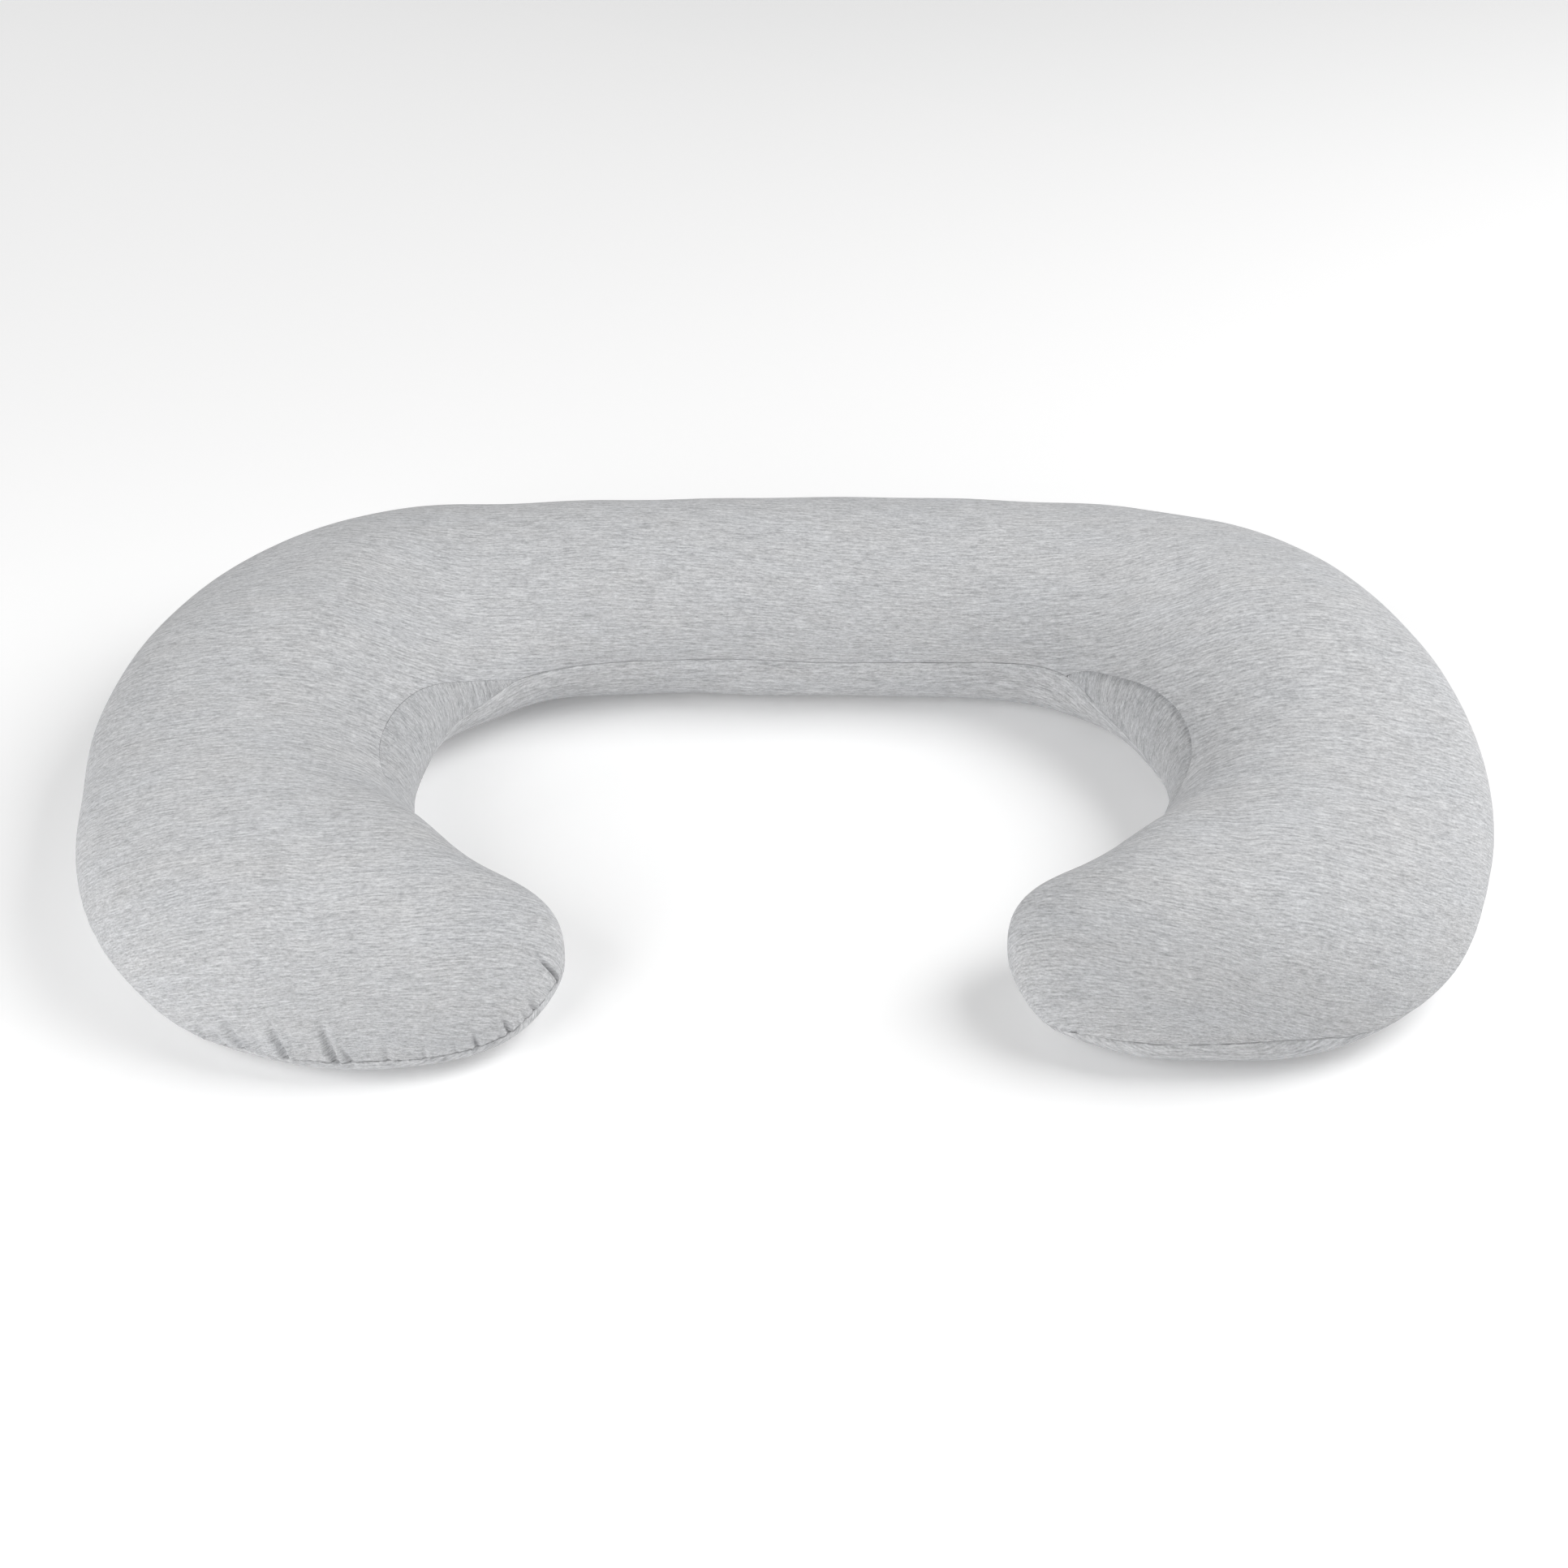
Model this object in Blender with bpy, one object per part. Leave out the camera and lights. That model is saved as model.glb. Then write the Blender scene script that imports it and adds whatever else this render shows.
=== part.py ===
"""C-shaped body pillow: a stuffed tube that lies flat, bent round an open hollow, with its two lobes curling in.

The filled body is one loft. Its ribs start at the seam that joins the top and bottom panels, and run over the
crown, or round the underside, to the middle line of the tube. Two lens-shaped gussets are let into the body at the
inner corners. Metres, +Z up, origin under the middle of the pillow on the surface that it lies on; the back of the
pillow is at +Y and the mouth between its lobes at -Y.
"""

import math

import bmesh
import bpy
import numpy as np

# Thickness of the stuffed tube
CROWN_Z = 0.180
# The crown's profile: 2 is an ellipse, more is fuller
CROWN_POWER = 2.2
# Share of the half width at which the underside meets the surface, and lies flat from there to the middle line
FLAT_SHARE = 0.70
# How far the seam is drawn in, and how far above and below it the cloth still follows
SEAM_SINK = 0.004
SEAM_REACH = 0.006

# Sections across the tube, from the left lobe round the back to the right lobe, in metres. The two ends of a
# section are where it crosses the seam, on the outside of the bend and on the wall of the hollow.
SECTIONS = [
    # name, outer x, outer y, inner x, inner y, seam height
    ("lobe_left", -0.475, -0.375, -0.295, -0.180, 0.035),
    ("heel_left", -0.625, -0.265, -0.355, -0.085, 0.055),
    ("side_left", -0.685, -0.050, -0.360, -0.020, 0.065),
    ("bend_left", -0.655, 0.165, -0.350, 0.030, 0.075),
    ("corner_left", -0.510, 0.345, -0.315, 0.090, 0.075),
    ("back_end_left", -0.335, 0.380, -0.235, 0.140, 0.080),
    ("back_left", -0.175, 0.385, -0.110, 0.155, 0.080),
    ("back_middle", 0.005, 0.390, -0.010, 0.155, 0.080),
    ("back_right", 0.155, 0.390, 0.145, 0.150, 0.080),
    ("back_end_right", 0.295, 0.380, 0.255, 0.135, 0.085),
    ("corner_right", 0.515, 0.340, 0.335, 0.070, 0.075),
    ("bend_right", 0.650, 0.170, 0.365, 0.010, 0.075),
    ("side_right", 0.685, -0.055, 0.375, -0.035, 0.070),
    ("heel_right", 0.615, -0.285, 0.365, -0.090, 0.060),
    ("lobe_right", 0.475, -0.380, 0.295, -0.180, 0.050),
]
# The rounded ends of the lobes: two places of the seam each, beyond the last section
LOBE_TIPS = {
    # name: front x, front y, back x, back y
    "left": (-0.210, -0.305, -0.205, -0.250),
    "right": (0.210, -0.300, 0.205, -0.260),
}

# Gathers in the top panel along the front of the left lobe. Distances run along the seam from the end of the
# wall of the hollow, round the lobe's tip.
GATHERS = [
    # distance along the seam, reach up the crown, half width, depth
    (0.150, 0.055, 0.007, 0.0060),
    (0.205, 0.025, 0.006, 0.0035),
    (0.236, 0.025, 0.006, 0.0035),
    (0.268, 0.035, 0.007, 0.0040),
    (0.310, 0.020, 0.006, 0.0025),
    (0.344, 0.022, 0.007, 0.0030),
    (0.392, 0.055, 0.008, 0.0060),
    (0.438, 0.045, 0.008, 0.0050),
    (0.485, 0.040, 0.008, 0.0045),
    (0.522, 0.035, 0.008, 0.0040),
]

# Gussets at the inner corners. Distances run along the seam on the wall of the hollow, from its right end.
GUSSETS = [
    # name, start, middle, end, share of the way up to the crown, share of the way round the underside, and how
    # pointed the upper edge is towards its start and towards its end: 1 is a parabola, less is blunter
    ("gusset_right", 0.030, 0.190, 0.350, 0.32, 0.11, 0.65, 0.75),
    ("gusset_left", 0.925, 1.140, 1.250, 0.385, 0.11, 1.20, 0.65),
]
# Cloth and the soft layer behind it, and the clear gap to the body
GUSSET_THICKNESS = 0.0025
GAP = 0.0003
# How pointed the lower edges are
LOWER_POWER = 1.6
# The lens is cut off just short of its points
LENS_END = 0.98
GUSSET_STEPS_LONG = 22
GUSSET_STEPS_ACROSS = 6

# Rows of the loft, as shares of a rib: 0 at the seam, 1 at the middle line
ROWS_ABOVE = (0.05, 0.13, 0.24, 0.38, 0.53, 0.69, 0.85)
ROWS_BELOW = (0.06, 0.17, 0.34, 0.55)
# Spacing of the ribs along the tube's middle line, and round the lobes' tips
PLAIN_STEP = 0.048
BEND_STEP = 0.026
FINE_STEP = 0.010
TIP_STEP = 0.024

HEATHER_GREY = (0.53, 0.535, 0.555, 1.0)
JERSEY_ROUGHNESS = 0.92


def clear_scene():
    """Start from an empty file."""
    for item in list(bpy.data.objects):
        bpy.data.objects.remove(item, do_unlink=True)


def closed_curve(at, length, places):
    """A smooth closed curve (a periodic cubic spline) through places, at the parameter values in at."""
    count = len(at)
    gap = np.diff(np.append(at, length))
    before = np.roll(gap, 1)
    slope = (np.roll(places, -1, 0) - places) / gap[:, None]
    system = np.diag(2 * (gap + before))
    for i in range(count):
        system[i, (i + 1) % count] += gap[i]
        system[i, (i - 1) % count] += before[i]
    bend = np.linalg.solve(system, 6 * (slope - np.roll(slope, 1, 0)))

    def place(t):
        t = np.mod(np.atleast_1d(np.asarray(t, float)), length)
        i = np.clip(np.searchsorted(at, t, side="right") - 1, 0, count - 1)
        j = (i + 1) % count
        step = gap[i][:, None]
        past = t[:, None] - at[i][:, None]
        left = step - past
        curved = (bend[i] * left**3 + bend[j] * past**3) / (6 * step)
        straight = (places[i] / step - bend[i] * step / 6) * left
        return curved + straight + (places[j] / step - bend[j] * step / 6) * past

    return place


class Pillow:
    """The pillow's surface. t is a place on the closed seam; v is 0 at the seam, 1 at the crown's middle line and
    -1 at the middle of the underside."""

    def __init__(self):
        rows = np.array([row[1:] for row in SECTIONS])
        outer, inner, seam = rows[:, 0:2], rows[:, 2:4], rows[:, 4]
        left, right = (np.reshape(LOBE_TIPS[side], (2, 2)) for side in ("left", "right"))
        count = len(rows)
        middle = (outer + inner) / 2
        along = np.append(0, np.cumsum(np.linalg.norm(np.diff(middle, axis=0), axis=1)))
        loop = np.vstack([outer, right, inner[::-1], left[::-1]])
        # The seam on both sides of the tube is timed by the middle line, and round the tips by its own length
        at = list(along)
        for k in range(count, len(loop)):
            if count + 2 < k < 2 * count + 2:
                at.append(at[-1] + along[2 * count + 2 - k] - along[2 * count + 1 - k])
            else:
                at.append(at[-1] + np.linalg.norm(loop[k] - loop[k - 1]))
        self.span = along[-1]
        self.total = at[-1] + np.linalg.norm(loop[0] - loop[-1])
        self.wall_start, self.wall_end = at[count + 2], at[2 * count + 1]
        self.seam = closed_curve(np.array(at), self.total, loop)
        heights = np.concatenate([seam, [seam[-1]] * 2, seam[::-1], [seam[0]] * 2])
        self.seam_height = closed_curve(np.array(at), self.total, heights[:, None])

    def middle(self, t):
        """The place of the middle line that the rib from t runs to."""
        t = np.mod(t, self.total)
        wall = (t >= self.wall_start) & (t <= self.wall_end)
        tip_right = (t > self.span) & (t < self.wall_start)
        m = np.where(wall, self.wall_end - t, np.where(tip_right, self.span, np.where(t <= self.span, t, 0)))
        return (self.seam(m) + self.seam(self.wall_end - m)) / 2

    def surface(self, t, v, sink=SEAM_SINK):
        """Points of the surface at places t and rib shares v, two arrays of one length."""
        t, v = np.broadcast_arrays(np.asarray(t, float), np.asarray(v, float))
        edge, middle, seam_z = self.seam(t), self.middle(t), self.seam_height(t)[:, 0]
        share = 1 - np.cos(np.abs(v) * math.pi / 2)
        crown = seam_z + (CROWN_Z - seam_z) * np.sqrt(1 - (1 - share) ** CROWN_POWER)
        turned = np.minimum(share / FLAT_SHARE, 1)
        under = seam_z * (1 - np.sqrt(1 - (1 - turned) ** 2))
        z = np.where(v >= 0, crown, under)
        half_width = np.linalg.norm(middle - edge, axis=1)
        share = share + sink * np.exp(-(((z - seam_z) / SEAM_REACH) ** 2)) / half_width
        return np.column_stack([edge + (middle - edge) * share[:, None], z])

    def distance_table(self, start, end, steps=800):
        """Places t from start to end, and the distance run along the seam to each."""
        t = np.linspace(start, end, steps)
        line = self.seam(t)
        return t, np.append(0, np.cumsum(np.linalg.norm(np.diff(line, axis=0), axis=1)))


def rib_places(pillow):
    """Places along the middle line where a section is lofted, close together where the tube bends or gathers."""
    gathered = 0.07
    straight_start, straight_end = 0.42 * pillow.span, 0.60 * pillow.span
    places = [0.0]
    while places[-1] < pillow.span:
        here = places[-1]
        if here < gathered:
            step = FINE_STEP
        elif straight_start < here < straight_end:
            step = PLAIN_STEP
        else:
            step = BEND_STEP
        places.append(here + step)
    return np.array(places) * pillow.span / places[-1]


def tip_places(pillow, start, end, step):
    """Places round one lobe's tip, without its two ends."""
    t, distance = pillow.distance_table(start, end)
    count = round(distance[-1] / step)
    return np.interp(np.arange(1, count) * distance[-1] / count, distance, t)


def gather_depth(pillow, t, rise):
    """How far the cloth is drawn in at each place t and at a distance rise up the rib from the seam."""
    places, distance = pillow.distance_table(pillow.wall_end, pillow.total + pillow.span / 4)
    run = np.interp(np.where(t < pillow.span / 4, t + pillow.total, t), places, distance)
    depth = np.zeros_like(run)
    for where, reach, half_width, deep in GATHERS:
        across = np.exp(-(((run - where) / half_width) ** 2))
        depth += deep * across * np.clip(1 - (rise / reach) ** 2, 0, 1)
    # The gathers start just above the stitches and leave the seam itself in line
    return depth * np.clip(rise / SEAM_REACH, 0, 1)


def rib(pillow, t):
    """One rib: its points above the seam, the seam point, and its points below it, up to both middle lines."""
    above = np.array((0.0,) + ROWS_ABOVE + (1.0,))
    points = pillow.surface(np.full(len(above), t), above)
    rise = np.append(0, np.cumsum(np.linalg.norm(np.diff(points, axis=0), axis=1)))
    core = np.append(pillow.middle(np.array([t]))[0], pillow.seam_height(t)[0, 0])
    inward = core - points
    inward /= np.maximum(np.linalg.norm(inward, axis=1), 1e-9)[:, None]
    points = points + inward * gather_depth(pillow, np.full(len(above), t), rise)[:, None]
    flat = 2 / math.pi * math.acos(1 - FLAT_SHARE)
    below = -np.array(ROWS_BELOW + (flat, 1.0))
    return np.vstack([points[::-1], pillow.surface(np.full(len(below), t), below)])


def add_mesh(name, points, faces, collection):
    """One closed mesh object, with doubled points joined and its faces pointing out."""
    mesh = bpy.data.meshes.new(name)
    bm = bmesh.new()
    vertices = [bm.verts.new(point) for point in points]
    for face in faces:
        bm.faces.new([vertices[i] for i in face])
    bmesh.ops.remove_doubles(bm, verts=bm.verts, dist=0.00002)
    bmesh.ops.triangulate(bm, faces=bm.faces)
    bmesh.ops.recalc_face_normals(bm, faces=bm.faces)
    bm.to_mesh(mesh)
    bm.free()
    mesh.shade_smooth()
    item = bpy.data.objects.new(name, mesh)
    collection.objects.link(item)
    return item


def ring_faces(ribs, rows):
    """Faces of a loft whose ribs close in a ring, and whose ribs run from one middle line to the other."""
    for i in range(ribs):
        j = (i + 1) % ribs
        for k in range(rows - 1):
            yield (i * rows + k, i * rows + k + 1, j * rows + k + 1, j * rows + k)


def build_body(pillow, collection):
    """The filled body, top and bottom panels in one solid."""
    along = rib_places(pillow)
    right = tip_places(pillow, pillow.span, pillow.wall_start, TIP_STEP)
    left = tip_places(pillow, pillow.wall_end, pillow.total, FINE_STEP)
    ring = np.concatenate([along, right, (pillow.wall_end - along)[::-1], left])
    ribs = [rib(pillow, t) for t in ring]
    faces = ring_faces(len(ribs), len(ribs[0]))
    return add_mesh("pillow", np.vstack(ribs), faces, collection)


def lens_solid(pillow, row, name, outside, inside, grow, collection):
    """A lens of the surface made solid: outside and inside are its distances out of the surface and into it."""
    _, start, middle, end, up, down, start_power, end_power = row
    t, distance = pillow.distance_table(pillow.wall_start, pillow.wall_end)
    reach = LENS_END + grow / (end - start)
    tau = reach * np.sin(np.linspace(-math.pi / 2, math.pi / 2, GUSSET_STEPS_LONG + 1))
    place = np.interp(np.where(tau < 0, middle + tau * (middle - start), middle + tau * (end - middle)), distance, t)
    tall = 1 - tau**2
    upper, lower = up * tall ** np.where(tau < 0, start_power, end_power), down * tall**LOWER_POWER
    # One share of a rib is about as long as the body is thick
    edge = grow / CROWN_Z
    across = np.linspace(0, 1, GUSSET_STEPS_ACROSS + 1)
    low, high = -lower - edge, upper + edge
    v = low[:, None] + (high - low)[:, None] * across
    here = np.repeat(place, len(across))
    skin = pillow.surface(here, v.ravel(), sink=0)
    nudge = 1e-3
    lengthwise = pillow.surface(here + nudge, v.ravel(), sink=0) - pillow.surface(here - nudge, v.ravel(), sink=0)
    ribwise = pillow.surface(here, v.ravel() + nudge, sink=0) - pillow.surface(here, v.ravel() - nudge, sink=0)
    normal = np.cross(lengthwise, ribwise)
    normal /= np.linalg.norm(normal, axis=1)[:, None]
    # Out of the pillow is up at the crown
    normal *= np.sign(normal[np.argmax(v.ravel()), 2])
    long, wide = v.shape
    layers = np.vstack([skin + normal * outside, skin - normal * inside])
    faces = []
    for layer in (0, long * wide):
        for i in range(long - 1):
            for k in range(wide - 1):
                a = layer + i * wide + k
                faces.append((a, a + 1, a + wide + 1, a + wide))
    rim = [i * wide for i in range(long)]
    rim += [(long - 1) * wide + k for k in range(1, wide)]
    rim += [i * wide + wide - 1 for i in range(long - 2, -1, -1)]
    rim += [k for k in range(wide - 2, 0, -1)]
    for a, b in zip(rim, rim[1:] + rim[:1]):
        faces.append((a, b, b + long * wide, a + long * wide))
    return add_mesh(name, layers, faces, collection)


def build_gusset(pillow, row, body, parts, cutters):
    """A gusset, and the shallow seat that it lies in."""
    gusset = lens_solid(pillow, row, row[0], 0.0, GUSSET_THICKNESS, 0.0, parts)
    clear_above = 0.010
    cutter = lens_solid(
        pillow, row, f"{row[0]}_seat", clear_above, GUSSET_THICKNESS + GAP, 2 * GAP, cutters
    )
    cutter.hide_render = True
    cutter.display_type = "WIRE"
    cut = body.modifiers.new(f"seat_of_{row[0]}", "BOOLEAN")
    cut.operation = "DIFFERENCE"
    cut.object = cutter
    return gusset


def jersey(name):
    """Heather grey knitted cloth, plain here."""
    material = bpy.data.materials.new(name)
    material.use_nodes = True
    shader = next(node for node in material.node_tree.nodes if node.type == "BSDF_PRINCIPLED")
    shader.inputs["Base Color"].default_value = HEATHER_GREY
    shader.inputs["Roughness"].default_value = JERSEY_ROUGHNESS
    shader.inputs["Metallic"].default_value = 0.0
    return material


def main():
    clear_scene()
    parts = bpy.data.collections.new("body_pillow")
    cutters = bpy.data.collections.new("cutters")
    for collection in (parts, cutters):
        bpy.context.scene.collection.children.link(collection)
    pillow = Pillow()
    body = build_body(pillow, parts)
    body.data.materials.append(jersey("cover"))
    for row in GUSSETS:
        gusset = build_gusset(pillow, row, body, parts, cutters)
        gusset.data.materials.append(jersey(row[0]))


main()
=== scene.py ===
"""The looks of the C-shaped body pillow: its jersey cover, seams, gathers and gussets, and the studio.

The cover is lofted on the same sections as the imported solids, which it replaces, and is puffed up by a cloth
simulation. The seams, gathers and fine puckers are then drawn into its fine surface. Metres, +Z up, the back
of the pillow at +Y.
"""

import math

import bmesh
import bpy
import numpy as np
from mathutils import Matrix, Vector
from mathutils.kdtree import KDTree


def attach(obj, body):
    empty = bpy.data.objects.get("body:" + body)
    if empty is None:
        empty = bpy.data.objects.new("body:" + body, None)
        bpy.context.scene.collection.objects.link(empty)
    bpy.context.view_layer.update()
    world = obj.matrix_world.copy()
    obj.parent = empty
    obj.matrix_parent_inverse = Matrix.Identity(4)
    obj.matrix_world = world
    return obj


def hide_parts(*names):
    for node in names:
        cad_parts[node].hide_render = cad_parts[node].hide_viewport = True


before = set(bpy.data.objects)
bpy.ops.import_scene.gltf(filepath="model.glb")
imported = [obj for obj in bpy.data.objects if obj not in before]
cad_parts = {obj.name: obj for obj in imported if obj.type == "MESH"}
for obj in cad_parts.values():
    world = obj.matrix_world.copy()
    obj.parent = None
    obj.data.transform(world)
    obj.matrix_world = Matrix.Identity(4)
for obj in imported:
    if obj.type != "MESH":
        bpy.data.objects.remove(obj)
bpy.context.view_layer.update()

# ---- sizes, the same as the solids'
CROWN_Z = 0.180
CROWN_POWER = 2.2
FLAT_SHARE = 0.70
SECTIONS = [
    # name, outer x, outer y, inner x, inner y, seam height
    ("lobe_left", -0.475, -0.375, -0.295, -0.180, 0.035),
    ("heel_left", -0.625, -0.265, -0.355, -0.085, 0.055),
    ("side_left", -0.685, -0.050, -0.360, -0.020, 0.065),
    ("bend_left", -0.655, 0.165, -0.350, 0.030, 0.075),
    ("corner_left", -0.510, 0.345, -0.315, 0.090, 0.075),
    ("back_end_left", -0.335, 0.380, -0.235, 0.140, 0.080),
    ("back_left", -0.175, 0.385, -0.110, 0.155, 0.080),
    ("back_middle", 0.005, 0.390, -0.010, 0.155, 0.080),
    ("back_right", 0.155, 0.390, 0.145, 0.150, 0.080),
    ("back_end_right", 0.295, 0.380, 0.255, 0.135, 0.085),
    ("corner_right", 0.515, 0.340, 0.335, 0.070, 0.075),
    ("bend_right", 0.650, 0.170, 0.365, 0.010, 0.075),
    ("side_right", 0.685, -0.055, 0.375, -0.035, 0.070),
    ("heel_right", 0.615, -0.285, 0.365, -0.090, 0.060),
    ("lobe_right", 0.475, -0.380, 0.295, -0.180, 0.050),
]
LOBE_TIPS = {
    # name: front x, front y, back x, back y
    "left": (-0.210, -0.305, -0.205, -0.250),
    "right": (0.210, -0.300, 0.205, -0.260),
}
GUSSETS = [
    # name, start, middle and end along the hollow's wall from its right end, share of the way up to the
    # crown, share of the way round the underside, and how pointed the upper edge is towards its start and
    # towards its end: 1 is a parabola, less is blunter
    ("gusset_right", 0.030, 0.190, 0.350, 0.32, 0.11, 0.65, 0.75),
    ("gusset_left", 0.925, 1.140, 1.250, 0.385, 0.11, 1.20, 0.65),
]
# How pointed the lower edges are
LOWER_POWER = 1.6
# How far round the rib the sewn seam lies above the widest line, or below it where the share is negative.
# On the left and the right it goes by the distance along the seam from that end of the hollow's wall, and on
# the wall by the distance from its right end
SEAM_RISE_LEFT = [
    (0.10, 0.010), (0.16, 0.035), (0.20, 0.028), (0.24, 0.010), (0.32, 0.012), (0.36, 0.018), (0.41, 0.004),
    (0.47, -0.050), (0.53, -0.160), (0.60, -0.150), (0.68, -0.080), (0.80, -0.040),
]
SEAM_RISE_WALL = [(0.28, 0.000), (0.36, 0.050), (0.43, 0.014), (0.86, 0.010), (0.93, 0.026), (1.00, 0.000)]
SEAM_RISE_RIGHT = [
    (0.08, 0.000), (0.14, -0.100), (0.18, -0.150), (0.21, -0.130), (0.24, -0.080), (0.27, -0.018),
    (0.31, 0.010), (0.37, 0.025), (0.43, 0.036), (0.47, 0.018), (0.50, -0.030), (0.53, -0.095),
    (0.56, -0.160), (0.61, -0.155), (0.69, -0.080), (0.80, -0.040),
]

# ---- seams and gussets
# A seam is a narrow groove between two puffed edges
SEAM_DEPTH = 0.0015
SEAM_WIDTH = 0.0032
# A seam is tighter at some places than at others: the least share of its depth, and the lengths and phases of
# the waves that it follows
SEAM_SLACK = 0.4
SEAM_WAVES = [(0.113, 0.0), (0.071, 1.0), (0.271, 2.0)]
# The seam round the left gusset is sewn loosely: its stretch of t, how long it takes to start and to end, and
# the share of the depth that is left there
LOOSE_FROM, LOOSE_TO = 3.80, 4.37
LOOSE_BLEND = 0.10
LOOSE_SHARE = 0.35
# The gussets' cloth is this thick, thins out to a share of that over its rim, and fills this much of its lens
GUSSET_CLOTH = 0.0014
GUSSET_RIM = 0.004
GUSSET_RIM_SHARE = 0.15
GUSSET_END = 0.994
# How much deeper than its seams a gusset's backing lies, where the lens is at least this share of a rib tall
BACKING_DEPTH = 0.0055
LENS_OPEN = 0.02
# The right gusset lies a step below the top panel's edge, and the left one hardly so. The step fades out over
# its width, and it is whole where the lens is this wide
VALLEY_DEPTH = {"gusset_left": 0.0004, "gusset_right": 0.0042}
VALLEY_WIDTH = 0.0060
VALLEY_OPEN = 0.030
# Fine puckers across the seams start a little beside them
PUCKER_HEIGHT = 0.0005
PUCKER_LENGTH = 0.013
PUCKER_REACH = 0.011
PUCKER_START = 0.002
# Finer ones at the gussets' stitches
STITCH_HEIGHT = 0.0005
STITCH_LENGTH = 0.0042
STITCH_REACH = 0.0060
PUCKER_SEEDS = {"top": 3, "under": 5, "gusset": 9, "stitches": 11}
# The waves of the puckers as shares of their length, and how far and how often they wander along the seam
PUCKER_WAVES = (1.0, 0.62, 1.71)
PUCKER_WANDER = 0.006
PUCKER_WANDER_LENGTH = 0.083
# Puckers are higher at some places than at others: the mean share of their height, its swing and its length
PUCKER_MEAN = 0.55
PUCKER_SWING = 0.45
PUCKER_SWING_LENGTH = 0.19

# ---- gathers
# A gather is a fold with a low ridge on both sides, the higher one nearer the hollow
RIDGES = [
    # place and reach, in half widths of the fold, and height as a share of its depth
    (-1.9, 0.75, 0.40),
    (2.2, 1.0, 0.12),
]
# A gather has a share of its half width at the seam, and widens by another share up to its reach
GATHER_NARROW = 0.7
GATHER_WIDENING = 0.6
GATHER_FADE_POWER = 1.6
# The share of a gather's depth that is left where it meets the seam, and how far from the seam it is whole
PINCH = 0.5
PINCH_REACH = 0.004
# Gathers in the top panel, by the distance along the seam from the end of the hollow's left wall
GATHERS = [
    # distance, reach up the crown, half width, depth, lean
    (0.1630, 0.045, 0.0012, 0.0095, 0.36),
    (0.178, 0.016, 0.0026, 0.0014, 0.30),
    (0.204, 0.024, 0.0028, 0.0040, 0.26),
    (0.216, 0.016, 0.0026, 0.0022, 0.30),
    (0.236, 0.026, 0.0030, 0.0046, 0.23),
    (0.247, 0.015, 0.0026, 0.0018, 0.20),
    (0.268, 0.028, 0.0030, 0.0040, 0.14),
    (0.288, 0.016, 0.0028, 0.0020, 0.05),
    (0.315, 0.022, 0.0030, 0.0024, 0.00),
    (0.348, 0.024, 0.0034, 0.0024, 0.05),
    (0.380, 0.022, 0.0034, 0.0038, 0.50),
    (0.3945, 0.050, 0.0044, 0.0068, 0.22),
    (0.418, 0.020, 0.0036, 0.0014, 0.25),
    (0.440, 0.044, 0.0040, 0.0066, 0.30),
    (0.462, 0.020, 0.0036, 0.0014, 0.30),
    (0.481, 0.044, 0.0040, 0.0060, 0.45),
    (0.499, 0.034, 0.0038, 0.0036, 0.60),
    (0.515, 0.034, 0.0038, 0.0036, 0.70),
    (0.538, 0.026, 0.0038, 0.0020, 0.60),
]
# The same in the right lobe, by the distance from its own end of the hollow's wall
GATHERS_RIGHT = [
    (0.155, 0.024, 0.0034, 0.0016, 0.20),
    (0.2427, 0.038, 0.0034, 0.0038, 0.46),
    (0.254, 0.020, 0.0030, 0.0016, 0.20),
    (0.226, 0.022, 0.0030, 0.0018, 0.50),
]

# ---- the filling
# Where the filling is fuller than the sections say, or slacker where the height is negative
FULLNESS = [
    # x, y, z, reach, height
    # The inner side of the left lobe, and the wall of the hollow from there to the right lobe
    (-0.21, -0.26, 0.08, 0.04, 0.004),
    (-0.28, -0.25, 0.145, 0.045, -0.0085),
    (-0.35, -0.185, 0.145, 0.055, 0.013),
    (-0.36, 0.01, 0.07, 0.05, 0.0045),
    (-0.30, 0.11, 0.05, 0.055, 0.008),
    (0.03, 0.17, 0.035, 0.15, 0.001),
    (0.30, 0.12, 0.045, 0.06, 0.0075),
    (0.365, 0.02, 0.06, 0.06, 0.0045),
    (0.35, -0.19, 0.145, 0.045, 0.0055),
    (0.28, -0.24, 0.145, 0.045, -0.0085),
    (0.215, -0.265, 0.095, 0.035, 0.0055),
    # The front and the outer side
    (0.24, -0.345, 0.045, 0.035, 0.005),
    (0.375, -0.39, 0.035, 0.06, -0.005),
    (-0.33, -0.385, 0.03, 0.07, -0.004),
    (-0.545, -0.34, 0.045, 0.05, 0.004),
    (-0.675, -0.06, 0.11, 0.06, -0.0035),
    (0.615, 0.13, 0.15, 0.045, -0.003),
    (0.665, -0.06, 0.125, 0.06, 0.0025),
    # The top of the back
    (-0.49, 0.27, 0.165, 0.08, 0.0025),
    (0.05, 0.31, 0.175, 0.4, 0.001),
    (0.555, 0.225, 0.155, 0.04, 0.002),
]
# Broad unevenness of the filling: waves of many lengths and directions
LUMP_HEIGHT = 0.0012
LUMP_WAVES = 14
LUMP_LONGEST = 0.34
LUMP_SHORTEST = 0.10
LUMP_SEED = 7
# The cloth simulation that puffs up the cover
PUFF_FRAMES = 20
PUFF_PRESSURE = 4.0
PUFF_QUALITY = 6
PUFF_MASS = 0.2
PUFF_STRETCH = 25
PUFF_SHEAR = 12
PUFF_BENDING = 15
# It starts from a slightly smaller shape, and moves no point further than this
PUFF_START = 0.003
PUFF_CAP = 0.004
# The cover keeps its sizes: what is left after this many blurs of the push is taken out of it again
PUFF_BLURS = 5
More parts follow.
